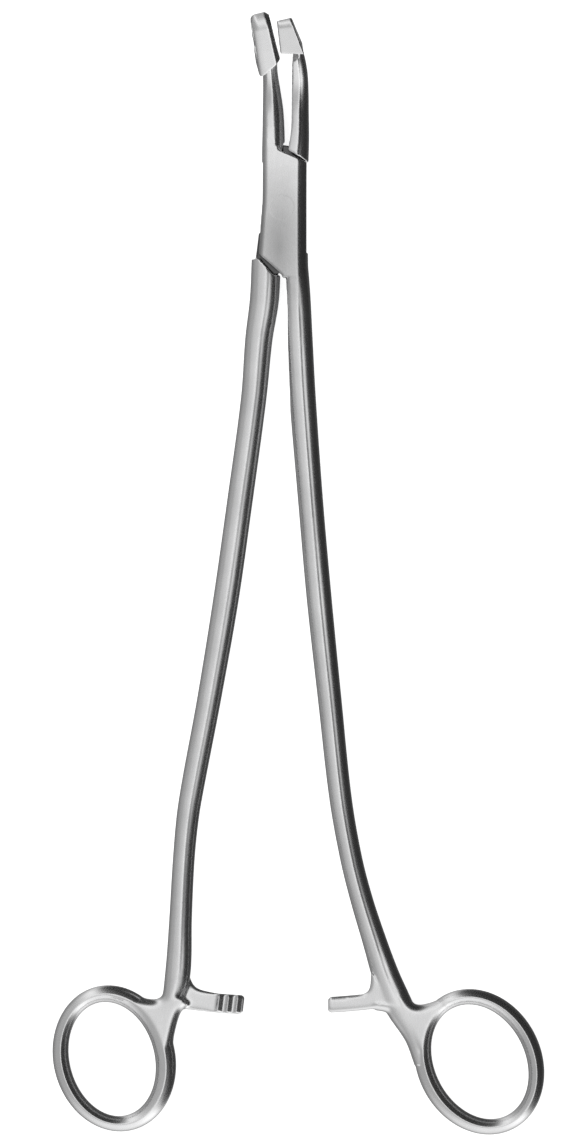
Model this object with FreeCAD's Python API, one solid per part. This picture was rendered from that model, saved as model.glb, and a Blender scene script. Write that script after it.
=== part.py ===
import FreeCAD, Part
import os
from math import atan2, cos, degrees, radians, sin, sqrt, tan

# Uterine biopsy forceps, millimetres. The instrument lies on its back: the pivot axis is Z through
# the origin, z = 0 is the back face of the box lock, +Y runs to the jaws, the viewer is at +Z.
# Both halves are modelled with the jaws closed. The punch half is then opened to its rest pose.

V = FreeCAD.Vector
Z_AXIS = V(0, 0, 1)
X_AXIS = V(1, 0, 0)

# Driving dimensions
REST_OPENING = 7.0          # degrees between the closed jaws and the rest pose
BOX_THICKNESS = 6.0         # box lock, back face to front face
BOX_LEFT = -4.4             # edges of the box lock at the pivot
BOX_RIGHT = 5.6
BOX_LEFT_FLANK = 0.9        # widths of its rounded flanks
BOX_RIGHT_FLANK = 2.3
TONGUE_THICKNESS = 2.3      # the punch half, where it passes through the box
SIDE_CLEARANCE = 0.05       # between the tongue and each cheek
EDGE_CLEARANCE = 0.12       # between edges of the two halves that meet when the jaws close
SLOT_HALF_LENGTH = 9.65     # the slot through the box ends this far each side of the pivot
TONGUE_REACH = 9.5          # corners of the tongue turn inside the slot on this radius
TONGUE_LEFT_INSET = 0.5     # edges of the tongue inside the edges of the box
TONGUE_RIGHT_INSET = 1.4
PIN_RADIUS = 1.9
PIN_HEAD_RADIUS = 2.5
PIN_HEAD_DEPTH = 0.7
PIN_CLEARANCE = 0.04        # pin to the bore of the tongue
FLANK_SHARE = 0.3           # share of a bar's width that is its rounded flank, on each side
SHANK_STEP = 12.0           # most between two sections of a shank, and of an arm
ARM_STEP = 3.0

HEAD_BEND = 33.0            # degrees that the jaws lean out of the plane of the shanks
HEAD_LEAN = 14.0            # degrees that the basket leans in that plane
BEND_START = 20.0           # the arms leave the plane of the shanks at this height
BEND_MARGIN = 2.0           # and are straight again this far below the jaws
HEAD_X = -0.2               # middle of the basket's rim plane, at its base
HEAD_Y = 30.8

BASKET_LENGTH = 12.9
BASKET_TIP_RADIUS = 2.76
BASKET_DEPTH = 4.6
BASKET_WALL = 1.0
BASKET_FLOOR = 0.8          # thickness of the lattice at the back of the basket
BASKET_BAR = 0.9            # width of the two lattice bars
LATTICE_SHARE = 0.45        # the cross bar lies at this share of the lattice's length
BASKET_HEEL = 2.6           # the base is cut back by this much at the rim
JAW_TAPER = 7.0             # degrees, each side
JAW_ROUNDING = 0.9          # of the basket's back edges
PUNCH_CLEARANCE = 0.15      # punch to the window of the basket
PUNCH_DRAFT = 6.0           # degrees that its walls lean in towards its rim, so that it swings in freely
PUNCH_ENTRY = 3.6           # how far the closed punch stands in the basket
PUNCH_WALL = 0.7
PUNCH_BACK_BASE = 1.4       # back of the punch above the basket's rim, at its base and at its tip
PUNCH_BACK_TIP = -0.4
PUNCH_TIP_GAP = 0.3         # more room at the tip of the basket than round its sides

RING_THICKNESS = 5.0
RING_FLANK_SHARE = 0.43
RING_SECTIONS = 15          # sections in half a ring
BASKET_RING = {"x": 42.4, "drop": 12.0, "lean": 27.0, "outer": (16.2, 13.4), "inner": (12.9, 9.7),
               "shift": (0.15, 0.0)}
PUNCH_RING = {"x": -13.5, "drop": 14.3, "lean": 22.0, "outer": (15.9, 13.1), "inner": (12.45, 9.1),
              "shift": (-0.45, -0.2)}

RATCHET_RADIUS = 171.6      # the ratchet bars lie on this arc about the pivot
RATCHET_BAR = 1.6           # thickness of a bar under its teeth
TOOTH_HEIGHT = 0.6
TOOTH_PITCH = 2.0
TOOTH_COUNT = 3
TOOTH_BASE_SHARE = 0.75     # foot of a tooth, and its crest, as shares of the pitch
TOOTH_CREST_SHARE = 0.55
TOOTH_WIDTH_SHARE = 0.9     # of the width of the bar
FIRST_TOOTH = 0.4           # from the tip of the bar
PLAIN_PITCHES = 3           # length of a bar behind its teeth, in pitches
TOOTH_GAP = 0.12            # air between the tips of the two rows of teeth
BASKET_RATCHET_TIP = 9.9    # distance of each bar's tip from the middle plane, jaws closed
PUNCH_RATCHET_TIP = 12.7
BASKET_RATCHET_WIDTH = 3.4
PUNCH_RATCHET_WIDTH = 4.1
RATCHET_ROUNDING = 0.5

MIDDLE = BOX_THICKNESS / 2
PLAN_DEPTH = 3 * BOX_THICKNESS      # tools that cut right through in Z are this tall
FAR = 20.0                          # beyond any edge of the box and the arms
OVERCUT = 2.0                       # tools that cut a jaw run on past it by this much

# The rings, the foot of each shank and all the blends are placed from the ratchets
HANDLE_Y = -RATCHET_RADIUS

# Stations along each shank: y, x of the middle, width across, height in Z
BASKET_SHANK = [(-11.5, 2.9, 5.3, 5.7), (-20.0, 3.35, 5.7, 5.4), (-28.0, 3.75, 5.7, 5.2),
                (-41.0, 4.45, 5.7, 5.0), (-63.0, 6.15, 5.4, 4.9), (-84.0, 8.0, 5.4, 4.8),
                (HANDLE_Y + 65.6, 10.3, 5.1, 4.7), (HANDLE_Y + 44.6, 12.6, 4.85, 4.6),
                (HANDLE_Y + 31.6, 14.9, 4.75, 4.6), (HANDLE_Y + 22.6, 17.2, 4.85, 4.6),
                (HANDLE_Y + 14.1, 19.85, 5.2, 4.7), (HANDLE_Y + 6.6, 22.3, 5.9, 4.8),
                (HANDLE_Y + 0.1, 25.1, 6.2, 4.9), (HANDLE_Y - 6.4, 28.6, 4.8, 4.8),
                (HANDLE_Y - 12.4, 30.15, 3.4, 4.4)]
PUNCH_SHANK = [(-11.5, -2.0, 6.3, 5.6), (-20.0, -1.35, 6.3, 5.4), (-28.5, -1.5, 5.9, 5.2),
               (-41.5, -1.05, 5.5, 5.0), (-63.5, -1.3, 5.5, 4.9), (-85.0, -1.7, 5.5, 4.8),
               (HANDLE_Y + 64.6, -2.7, 5.15, 4.7), (HANDLE_Y + 47.6, -3.8, 5.0, 4.6),
               (HANDLE_Y + 39.6, -4.15, 4.85, 4.6), (HANDLE_Y + 30.1, -3.9, 4.7, 4.6),
               (HANDLE_Y + 17.1, -3.0, 4.9, 4.7), (HANDLE_Y + 8.6, -2.3, 5.4, 4.8),
               (HANDLE_Y + 0.6, -1.8, 6.0, 4.9), (HANDLE_Y - 6.9, -2.3, 4.8, 4.8),
               (HANDLE_Y - 13.4, -2.85, 3.4, 4.4)]

# Stations along each arm, from the box to the neck of its jaw: y, left edge, right edge, height
BASKET_ARM = [(8.0, -4.3, 0.62, 5.8), (13.3, -4.28, 0.62, 5.7), (17.0, -4.2, 0.55, 5.5),
              (21.0, -4.15, 0.3, 5.2), (25.0, -4.1, -0.3, 4.9), (28.8, -4.15, -1.0, 4.5),
              (31.4, -4.4, -1.5, 4.3), (32.4, -4.6, -1.8, 4.3)]
PUNCH_ARM = [(9.0, -0.6, 4.6, 5.7), (13.0, -0.5, 4.25, 5.5), (17.0, -0.35, 3.8, 5.4),
             (21.0, -0.75, 3.25, 5.2), (25.0, -1.2, 2.7, 4.8), (28.5, -1.7, 2.1, 4.5),
             (31.0, -2.1, 1.4, 4.3), (33.2, -2.35, 0.6, 4.3), (35.2, -2.6, -0.1, 4.3)]

# Edges of the box lock: y, left edge, right edge
BOX_EDGES = [(-15.0, BOX_LEFT - 1.3, BOX_RIGHT + 0.1), (-9.7, BOX_LEFT - 0.85, BOX_RIGHT),
             (-3.0, BOX_LEFT - 0.35, BOX_RIGHT), (2.0, BOX_LEFT, BOX_RIGHT),
             (13.2, BOX_LEFT + 0.1, BOX_RIGHT + 0.1)]

# Where the halves meet when the jaws are closed, seen from the front: the shoulders of the box, and
# the front edges of the basket half below the box and of the punch half above it
LOWER_SHOULDER = [(0.0, -14.4), (-5.38, -9.68), (-8.0, -7.4)]
UPPER_SHOULDER = [(8.0, 8.58), (4.52, 10.11), (-0.86, 12.47)]
LOWER_DIVIDE = [(2.6, -60.0), (1.75, -44.0), (1.05, -28.0), (0.5, -20.0)]
UPPER_DIVIDE = [(-0.9, 20.0), (-1.0, 23.0), (-1.4, 26.5), (-1.85, 29.0), (-2.2, 30.0), (-2.6, 31.0),
                (-2.6, 60.0)]

# Blends between a ring and what it stands on, seen from the front: a point on the shank, the corner,
# the point on the ring as degrees round it, degrees where the ring runs into the shank, and a point
# inside the shank. Heights of points are from HANDLE_Y.
BASKET_RING_BLENDS = [((26.4, 4.4), (28.6, -0.4), -2.0, -38.0, (26.0, 0.1)),
                      ((18.6, -1.1), (25.0, -1.6), -60.0, -38.0, (26.0, 0.1))]
PUNCH_RING_BLENDS = [((-4.6, 3.8), (-5.3, -1.4), 15.0, 66.0, (-1.8, 0.6)),
                     ((3.4, -1.8), (-0.6, -2.8), 93.0, 76.0, (-1.8, 0.6))]

# Blends between a ratchet bar and its shank: a point on each, the corner, and a point inside both,
# with heights from HANDLE_Y
BASKET_RATCHET_BLEND = ((18.6, 8.4), (13.0, 2.2), (19.0, 2.7), (22.5, 1.0))
PUNCH_RATCHET_BLEND = ((0.9, 6.2), (10.7, 2.3), (1.74, 2.4), (-0.5, 0.0))
BLEND_THICKNESS = 4.0
BLEND_OVERLAP = 1.1         # how far a blend runs on inside the forms that it joins

# Where the tongue leaves the slot to reach the shank and the arm of the punch half
LOWER_WEB = [(2.6, -9.0), (2.3, -14.0)]
UPPER_WEB = [(-2.6, 9.0), (-2.4, 13.4)]
WEB_ROOM = 0.5              # room past the end of each web, for its swing

# The rest of each web's outline, inside the tongue at its start and inside the bar at its end
LOWER_WEB_START = [(-4.3, -6.0), (2.6, -6.0)]
LOWER_WEB_END = [(0.9, -14.0), (0.3, -18.0), (-3.5, -18.0), (-4.3, -13.0)]
UPPER_WEB_START = [(3.9, 6.0), (-2.6, 6.0)]
UPPER_WEB_END = [(1.1, 13.4), (1.5, 18.0), (3.0, 18.0), (3.9, 13.0)]


def turned(shape, angle):
    """A copy of a shape, turned about the pivot axis, anticlockwise seen from the viewer."""
    copy = shape.copy()
    copy.rotate(V(0, 0, 0), Z_AXIS, angle)
    return copy


def fused(solids):
    """One clean solid out of several."""
    result = solids[0].multiFuse(solids[1:])
    return result.removeSplitter()


def prism(points, bottom, height):
    """A straight prism over a plan outline of (x, y) points."""
    corners = [V(x, y, bottom) for x, y in points]
    face = Part.Face(Part.makePolygon(corners + corners[:1]))
    return face.extrude(V(0, 0, height))


def bar_section(width, height, left, right):
    """Closed wire in the XZ plane: flat front and back, and round flanks left and right, by their widths."""
    low, high = left - width / 2, width / 2 - right
    half = height / 2
    edges = [Part.LineSegment(V(low, 0, half), V(high, 0, half)).toShape(),
             Part.Arc(V(high, 0, half), V(width / 2, 0, 0), V(high, 0, -half)).toShape(),
             Part.LineSegment(V(high, 0, -half), V(low, 0, -half)).toShape(),
             Part.Arc(V(low, 0, -half), V(-width / 2, 0, 0), V(low, 0, half)).toShape()]
    return Part.Wire(edges)


def filled_in(rows, step):
    """Rows with more between them, on smooth curves through the given ones. Each row starts with its y."""
    count = len(rows)
    slopes = []
    for index in range(count):
        before = rows[max(index - 1, 0)]
        after = rows[min(index + 1, count - 1)]
        slopes.append([(b - a) / (after[0] - before[0]) for a, b in zip(before, after)])
    result = []
    for index in range(count - 1):
        start, end = rows[index], rows[index + 1]
        run = end[0] - start[0]
        parts = max(1, round(abs(run) / step))
        for part in range(parts):
            t = part / parts
            row = []
            for a, b, slope_a, slope_b in zip(start, end, slopes[index], slopes[index + 1]):
                bend = (1 - t) * (slope_a * run - b + a) - t * (slope_b * run - b + a)
                row.append(a + t * (b - a) + t * (1 - t) * bend)
            result.append(tuple(row))
    return result + [rows[-1]]


def placed(shape, x, y, z, lean, pitch):
    """A copy of a shape, leaned about Z after it is pitched about X, and moved to a point."""
    turn = FreeCAD.Rotation(Z_AXIS, lean).multiply(FreeCAD.Rotation(X_AXIS, pitch))
    copy = shape.copy()
    copy.Placement = FreeCAD.Placement(V(x, y, z), turn).multiply(copy.Placement)
    return copy


def shank(stations):
    """A bar through its stations, square to its own middle line everywhere."""
    rows = filled_in(stations, SHANK_STEP)
    sections = []
    for index, (y, x, width, height) in enumerate(rows):
        before = rows[max(index - 1, 0)]
        after = rows[min(index + 1, len(rows) - 1)]
        lean = degrees(atan2(after[1] - before[1], before[0] - after[0]))
        flank = FLANK_SHARE * width
        sections.append(placed(bar_section(width, height, flank, flank), x, y, MIDDLE, lean, 0))
    return Part.makeLoft(sections, True, True)


def bend_height(y):
    """How far the middle of an arm has risen out of the plane of the shanks, and its pitch."""
    reach = HEAD_Y - BEND_MARGIN - BEND_START
    radius = reach / sin(radians(HEAD_BEND))
    if y <= BEND_START:
        return 0.0, 0.0
    run = min(y - BEND_START, reach)
    rise = radius - sqrt(radius ** 2 - run ** 2)
    rest = y - BEND_START - run
    return rise + rest * tan(radians(HEAD_BEND)), degrees(atan2(run, sqrt(radius ** 2 - run ** 2)))


def arm(stations):
    """A bar from the box to a jaw, which bends towards the viewer."""
    sections = []
    for y, left, right, height in filled_in(stations, ARM_STEP):
        rise, pitch = bend_height(y)
        lean = HEAD_LEAN * pitch / HEAD_BEND
        flank = FLANK_SHARE * (right - left)
        section = bar_section(right - left, height, flank, flank)
        sections.append(placed(section, (left + right) / 2, y, MIDDLE + rise, lean, pitch))
    return Part.makeLoft(sections, True, True)


def box_block():
    """The box lock before it is slotted: flat faces with rounded flanks."""
    sections = []
    for y, left, right in filled_in(BOX_EDGES, ARM_STEP):
        section = bar_section(right - left, BOX_THICKNESS, BOX_LEFT_FLANK, BOX_RIGHT_FLANK)
        sections.append(placed(section, (left + right) / 2, y, MIDDLE, 0, 0))
    return Part.makeLoft(sections, True, True)


def box_ground(gap):
    """What the punch half leaves to the box and to the front of the basket half's arm, less a gap."""
    lower = [(x + gap, y + gap) for x, y in LOWER_SHOULDER]
    upper = [(x - gap, y - gap) for x, y in UPPER_SHOULDER + UPPER_DIVIDE]
    left = [(-FAR, lower[-1][1]), (-FAR, upper[-1][1])]
    outline = [(FAR, lower[0][1])] + lower + left + upper[::-1] + [(FAR, upper[0][1])]
    return prism(outline, -BOX_THICKNESS, PLAN_DEPTH)


def punch_ground():
    """What the box and the shank of the basket half leave to the closed punch half, seen from the front."""
    lower = LOWER_DIVIDE + LOWER_SHOULDER
    upper = UPPER_SHOULDER + UPPER_DIVIDE
    lower += [(-FAR, lower[-1][1]), (-FAR, lower[0][1])]
    upper += [(FAR, upper[-1][1]), (FAR, upper[0][1])]
    return prism(lower, -BOX_THICKNESS, PLAN_DEPTH), prism(upper, -BOX_THICKNESS, PLAN_DEPTH)


def widened(stations, gap):
    """Stations of a shank that is larger by a gap on every side."""
    return [(y, x, width + 2 * gap, height + 2 * gap) for y, x, width, height in stations]


def punch_shank_room():
    """The hollow in the inner flank of the basket half, for the flank of the closed punch half."""
    return shank(widened(PUNCH_SHANK, EDGE_CLEARANCE)).cut(box_ground(0))


def basket_arm_room():
    """The hollow in the inner flank of the punch half's arm, for the flank of the basket half's arm."""
    gap = EDGE_CLEARANCE
    return arm([(y, left - gap, right + gap, height + 2 * gap) for y, left, right, height in BASKET_ARM])


def tongue():
    """The thin web of the punch half that passes through the slot of the box."""
    bottom = MIDDLE - TONGUE_THICKNESS / 2
    left, right = BOX_LEFT + TONGUE_LEFT_INSET, BOX_RIGHT - TONGUE_RIGHT_INSET
    inside = [(left, -SLOT_HALF_LENGTH), (right, -SLOT_HALF_LENGTH),
              (right, SLOT_HALF_LENGTH), (left, SLOT_HALF_LENGTH)]
    disc = Part.makeCylinder(TONGUE_REACH, TONGUE_THICKNESS, V(0, 0, bottom))
    core = prism(inside, bottom, TONGUE_THICKNESS).common(disc)
    lower = prism(LOWER_WEB_START + LOWER_WEB + LOWER_WEB_END, bottom, TONGUE_THICKNESS)
    upper = prism(UPPER_WEB_START + UPPER_WEB + UPPER_WEB_END, bottom, TONGUE_THICKNESS)
    return fused([core, lower, upper])


def slot():
    """The room in the basket half for the tongue, wherever the punch half swings."""
    height = TONGUE_THICKNESS + 2 * SIDE_CLEARANCE
    bottom = MIDDLE - height / 2
    across = prism([(-FAR, -SLOT_HALF_LENGTH), (FAR, -SLOT_HALF_LENGTH), (FAR, SLOT_HALF_LENGTH),
                    (-FAR, SLOT_HALF_LENGTH)], bottom, height)
    lower_x = LOWER_WEB[0][0] + EDGE_CLEARANCE
    upper_x = UPPER_WEB[0][0] - EDGE_CLEARANCE
    lower_y = LOWER_WEB[-1][1] - WEB_ROOM
    upper_y = UPPER_WEB[-1][1] + WEB_ROOM
    below = prism([(-FAR, 0), (lower_x, 0), (lower_x, lower_y), (-FAR, lower_y)], bottom, height)
    above = prism([(FAR, 0), (upper_x, 0), (upper_x, upper_y), (FAR, upper_y)], bottom, height)
    return across.fuse([below, above]).removeSplitter()


def tapered_outline(length, tip_radius, base):
    """Face in the YZ plane: a jaw seen square on, from its base to its round tip."""
    taper = radians(JAW_TAPER)
    middle = length - tip_radius
    side_y = middle + tip_radius * sin(taper)
    side_z = tip_radius * cos(taper)
    base_z = side_z + (side_y - base) * tan(taper)
    tip = Part.Arc(V(0, side_y, side_z), V(0, length, 0), V(0, side_y, -side_z)).toShape()
    lines = Part.makePolygon([V(0, side_y, -side_z), V(0, base, -base_z), V(0, base, base_z),
                              V(0, side_y, side_z)])
    return Part.Face(Part.Wire([tip] + lines.Edges))


def jaw_frame(shape):
    """Places a jaw, which is drawn with its rim at x = 0 and its base at y = 0."""
    rise = bend_height(HEAD_Y)[0]
    return placed(shape, HEAD_X, HEAD_Y, MIDDLE + rise, HEAD_LEAN, HEAD_BEND)


def basket_pocket():
    """The room inside the basket, and the windows through its floor, which is a lattice of two bars."""
    base = BASKET_HEEL + BASKET_WALL
    inner = tapered_outline(BASKET_LENGTH - BASKET_WALL, BASKET_TIP_RADIUS - BASKET_WALL, base)
    room = inner.extrude(V(2 * BASKET_DEPTH, 0, 0))
    room.translate(V(BASKET_FLOOR - BASKET_DEPTH, 0, 0))
    windows = inner.extrude(V(-2 * BASKET_DEPTH, 0, 0))
    cross_y = base + LATTICE_SHARE * (BASKET_LENGTH - BASKET_WALL - base)
    long_bar = Part.makeBox(3 * BASKET_DEPTH, BASKET_LENGTH, BASKET_BAR,
                            V(-3 * BASKET_DEPTH, 0, -BASKET_BAR / 2))
    cross_bar = Part.makeBox(3 * BASKET_DEPTH, BASKET_BAR, BASKET_LENGTH,
                             V(-3 * BASKET_DEPTH, cross_y - BASKET_BAR / 2, -BASKET_LENGTH / 2))
    return jaw_frame(room.fuse(windows.cut(long_bar.fuse(cross_bar))))


def basket_block():
    """The outer form of the basket: a tapered block with rounded back edges, cut back at its heel."""
    outer = tapered_outline(BASKET_LENGTH, BASKET_TIP_RADIUS, 0)
    outer = outer.extrude(V(-BASKET_DEPTH, 0, 0))
    back_edges = [edge for edge in outer.Edges if edge.BoundBox.XMax < -BASKET_DEPTH + 0.01
                  and edge.BoundBox.YMax > 0.01]
    outer = outer.makeFillet(JAW_ROUNDING, back_edges)
    heel = prism([(OVERCUT, -OVERCUT), (OVERCUT, BASKET_HEEL * (1 + OVERCUT / BASKET_DEPTH)),
                  (-BASKET_DEPTH, 0), (-BASKET_DEPTH, -OVERCUT)], -PLAN_DEPTH / 2, PLAN_DEPTH)
    return jaw_frame(outer.cut(heel))


def punch_block(wall):
    """The outer form of the punch, or with a wall given, the hollow inside it."""
    base = BASKET_HEEL + BASKET_WALL + PUNCH_CLEARANCE
    tip = BASKET_LENGTH - BASKET_WALL - PUNCH_TIP_GAP
    slope = (PUNCH_BACK_TIP - PUNCH_BACK_BASE) / (tip - base)
    ends = []
    for x in (-2 * PUNCH_ENTRY if wall else -PUNCH_ENTRY, PUNCH_ENTRY):
        inset = PUNCH_CLEARANCE + wall - x * tan(radians(PUNCH_DRAFT))
        outline = tapered_outline(tip - inset, BASKET_TIP_RADIUS - BASKET_WALL - inset,
                                  BASKET_HEEL + BASKET_WALL + inset)
        outline.translate(V(x, 0, 0))
        ends.append(outline.OuterWire)
    profile = prism([(-3 * PUNCH_ENTRY, 0), (PUNCH_BACK_BASE - wall - base * slope, 0),
                     (PUNCH_BACK_TIP - wall + OVERCUT * slope, tip + OVERCUT),
                     (-3 * PUNCH_ENTRY, tip + OVERCUT)], -PLAN_DEPTH / 2, PLAN_DEPTH)
    return jaw_frame(Part.makeLoft(ends, True, True).common(profile))


def hollow_web(start, corner, end, rest, bottom, height):
    """A web with one hollow curved side from start to end, which bends round a corner."""
    curve = Part.BezierCurve()
    curve.setPoles([start, corner, corner, end])
    lines = Part.makePolygon([end] + rest + [start])
    body = Part.Face(Part.Wire([curve.toShape()] + lines.Edges)).extrude(V(0, 0, height))
    body.translate(V(0, 0, bottom))
    return body


def ratchet_blend(points, bottom):
    """The web in the corner between a ratchet bar and its shank."""
    start, end, corner, inside = [V(x, HANDLE_Y + y, 0) for x, y in points]
    start = start + (inside - start).normalize() * BLEND_OVERLAP
    end = end + (inside - end).normalize() * BLEND_OVERLAP
    return hollow_web(start, corner, end, [inside], bottom, RATCHET_BAR)


def ring_blend(spec, points):
    """The web in the corner between a finger ring and the shank or ratchet bar beside it."""
    start, corner, ring_end, ring_root, inside = points
    start, corner, inside = [V(x, HANDLE_Y + y, 0) for x, y in (start, corner, inside)]
    start = start + (inside - start).normalize() * BLEND_OVERLAP
    steps = 4
    along_ring = []
    for index in range(steps + 1):
        turn = radians(ring_end + (ring_root - ring_end) * index / steps)
        outer = V(*oval_point(spec, "outer", turn), 0)
        inner = V(*oval_point(spec, "inner", turn), 0)
        along_ring.append((outer + inner) / 2)
    outer = V(*oval_point(spec, "outer", radians(ring_end)), 0)
    end = outer + (along_ring[0] - outer).normalize() * BLEND_OVERLAP / 2
    return hollow_web(start, corner, end, along_ring + [inside], MIDDLE - BLEND_THICKNESS / 2,
                      BLEND_THICKNESS)


def oval_point(spec, name, turn):
    """The x and y of a point on a ring's outer or inner edge, at a turn in radians."""
    lean = radians(spec["lean"])
    shift = spec["shift"] if name == "inner" else (0, 0)
    along = spec[name][0] * cos(turn)
    across = spec[name][1] * sin(turn)
    x = spec["x"] + shift[0] - along * sin(lean) + across * cos(lean)
    y = HANDLE_Y - spec["drop"] + shift[1] + along * cos(lean) + across * sin(lean)
    return x, y


def half_ring(spec, first):
    """Half of a finger ring, a bar between two leaning ovals."""
    sections = []
    for index in range(RING_SECTIONS + 1):
        turn = radians(first + 180.0 * index / RING_SECTIONS)
        outer_x, outer_y = oval_point(spec, "outer", turn)
        inner_x, inner_y = oval_point(spec, "inner", turn)
        width = sqrt((outer_x - inner_x) ** 2 + (outer_y - inner_y) ** 2)
        lean = degrees(atan2(outer_y - inner_y, outer_x - inner_x))
        flank = RING_FLANK_SHARE * width
        section = bar_section(width, RING_THICKNESS, flank, flank)
        sections.append(placed(section, (outer_x + inner_x) / 2, (outer_y + inner_y) / 2, MIDDLE, lean, 0))
    return Part.makeLoft(sections, True, True)


def ring(spec):
    """A finger ring: an oval bar with round flanks, a little thicker on one side."""
    return fused([half_ring(spec, 0), half_ring(spec, 180)])


def ratchet(tip_x, inward, width, face_z, tooth_way):
    """A ratchet bar on an arc about the pivot, with teeth on one face. inward is +1 or -1."""
    length = TOOTH_PITCH * (TOOTH_COUNT + PLAIN_PITCHES)
    outer = Part.makeCylinder(RATCHET_RADIUS + width / 2, RATCHET_BAR, V(0, 0, 0))
    inner = Part.makeCylinder(RATCHET_RADIUS - width / 2, RATCHET_BAR, V(0, 0, 0))
    window = Part.makeBox(length, 2 * width, RATCHET_BAR, V(0, -width, 0))
    if inward > 0:
        window.translate(V(tip_x - length, 0, 0))
    else:
        window.translate(V(tip_x, 0, 0))
    window.translate(V(0, -RATCHET_RADIUS, 0))
    bar = outer.cut(inner).common(window)
    bar.translate(V(0, 0, face_z if tooth_way < 0 else face_z - RATCHET_BAR))
    uprights = [edge for edge in bar.Edges if edge.BoundBox.ZLength > RATCHET_BAR - 0.01
                and abs(edge.BoundBox.Center.x - tip_x) < 0.5]
    bar = bar.makeFillet(RATCHET_ROUNDING, uprights)
    solids = [bar]
    for index in range(TOOTH_COUNT):
        start = tip_x - inward * (FIRST_TOOTH + index * TOOTH_PITCH)
        base = start - inward * TOOTH_PITCH * TOOTH_BASE_SHARE
        crest = start - inward * TOOTH_PITCH * TOOTH_CREST_SHARE
        corners = [V(start, 0, face_z), V(base, 0, face_z), V(crest, 0, face_z + tooth_way * TOOTH_HEIGHT)]
        face = Part.Face(Part.makePolygon(corners + corners[:1]))
        tooth = face.extrude(V(0, TOOTH_WIDTH_SHARE * width, 0))
        tooth.translate(V(0, -RATCHET_RADIUS - TOOTH_WIDTH_SHARE * width / 2, 0))
        solids.append(tooth)
    return fused(solids)


def pivot_pin():
    """A rivet, peened flush into a countersink on both faces of the box."""
    shaft = Part.makeCylinder(PIN_RADIUS, BOX_THICKNESS)
    low = Part.makeCone(PIN_HEAD_RADIUS, PIN_RADIUS, PIN_HEAD_DEPTH)
    high = Part.makeCone(PIN_RADIUS, PIN_HEAD_RADIUS, PIN_HEAD_DEPTH,
                         V(0, 0, BOX_THICKNESS - PIN_HEAD_DEPTH))
    return fused([shaft, low, high])


def basket_half():
    """The half that holds the box and the basket, with the right shank and ring."""
    tooth_face = MIDDLE + TOOTH_GAP / 2 + TOOTH_HEIGHT
    below, above = punch_ground()
    body = fused([box_block(), shank(BASKET_SHANK)]).cut([below, above])
    body = fused([body, arm(BASKET_ARM)])
    body = body.cut([slot(), punch_shank_room(), pivot_pin()])
    solids = [body, basket_block(), ring(BASKET_RING)]
    solids += [ratchet(BASKET_RATCHET_TIP, -1, BASKET_RATCHET_WIDTH, tooth_face, -1)]
    solids += [ring_blend(BASKET_RING, points) for points in BASKET_RING_BLENDS]
    solids += [ratchet_blend(BASKET_RATCHET_BLEND, tooth_face)]
    return fused(solids).cut(basket_pocket())


def punch_half():
    """The half that passes through the box and holds the punch, with the left shank and ring."""
    tooth_face = MIDDLE - TOOTH_GAP / 2 - TOOTH_HEIGHT
    bars = fused([shank(PUNCH_SHANK), arm(PUNCH_ARM)])
    basket_room = basket_block()
    basket_room.translate(V(EDGE_CLEARANCE, 0, 0))
    bars = bars.cut([box_ground(-EDGE_CLEARANCE), basket_arm_room(), basket_room])
    bore = Part.makeCylinder(PIN_RADIUS + PIN_CLEARANCE, BOX_THICKNESS)
    solids = [bars, tongue().cut(bore), punch_block(0), ring(PUNCH_RING)]
    solids += [ratchet(PUNCH_RATCHET_TIP, 1, PUNCH_RATCHET_WIDTH, tooth_face, 1)]
    solids += [ring_blend(PUNCH_RING, points) for points in PUNCH_RING_BLENDS]
    solids += [ratchet_blend(PUNCH_RATCHET_BLEND, tooth_face - RATCHET_BAR)]
    return turned(fused(solids).cut(punch_block(PUNCH_WALL)), -REST_OPENING)


os.makedirs("parts", exist_ok=True)
pieces = {"basket_half": basket_half(), "punch_half": punch_half(), "pivot_pin": pivot_pin()}
for name, shape in pieces.items():
    if len(shape.Solids) != 1 or not shape.isValid():
        print("check", name, "solids", len(shape.Solids), "valid", shape.isValid())
    shape.exportStep("parts/" + name + ".step")
    box = shape.BoundBox
    print(name, "volume", round(shape.Volume, 1), "x", round(box.XMin, 1), round(box.XMax, 1),
          "y", round(box.YMin, 1), round(box.YMax, 1), "z", round(box.ZMin, 1), round(box.ZMax, 1))
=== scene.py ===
from math import atan2, cos, pi, radians, sin, sqrt, tan

import bmesh
import bpy
import numpy as np
from mathutils import Matrix, Vector


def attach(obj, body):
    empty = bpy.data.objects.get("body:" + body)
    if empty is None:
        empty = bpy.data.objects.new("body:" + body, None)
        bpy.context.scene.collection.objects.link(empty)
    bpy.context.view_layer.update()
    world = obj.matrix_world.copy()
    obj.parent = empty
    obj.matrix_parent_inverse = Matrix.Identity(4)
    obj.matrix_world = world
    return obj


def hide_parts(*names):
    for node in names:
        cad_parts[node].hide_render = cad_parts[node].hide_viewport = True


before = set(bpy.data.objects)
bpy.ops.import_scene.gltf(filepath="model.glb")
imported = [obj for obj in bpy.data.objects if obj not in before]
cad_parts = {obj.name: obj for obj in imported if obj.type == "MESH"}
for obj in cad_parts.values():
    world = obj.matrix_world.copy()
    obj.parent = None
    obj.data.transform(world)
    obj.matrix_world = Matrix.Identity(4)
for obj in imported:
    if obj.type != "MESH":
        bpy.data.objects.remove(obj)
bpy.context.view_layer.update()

# The steel is drawn in millimetres, in the same places as the CAD, and becomes metres in to_object().
MM = 0.001

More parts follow.
